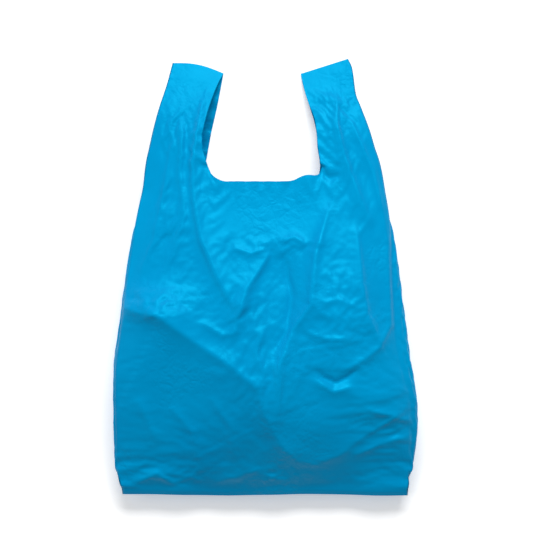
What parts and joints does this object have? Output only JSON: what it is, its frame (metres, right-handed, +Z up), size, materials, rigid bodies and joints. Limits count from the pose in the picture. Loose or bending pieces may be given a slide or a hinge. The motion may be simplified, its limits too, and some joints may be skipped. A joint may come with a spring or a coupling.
{
  "type": "plastic carrier bag",
  "caption": "Vest-style carrier bag of thin satin plastic film with side gussets, a flat welded bottom and looped handles, lying on its back and slightly puffed up.",
  "frame": {"origin": "centre of the bag's outline seen from above, on the surface that its back panel lies on", "axes": "+X to the right across the bag seen from above, +Y from the bottom weld towards the handles, +Z up out of the front panel"},
  "size_m": [0.35, 0.5044, 0.0802],
  "materials": {
    "film": "satin, slightly translucent"
  },
  "bodies": {
    "root": {"carrier_bag": "film"}
  },
  "joints": []
}
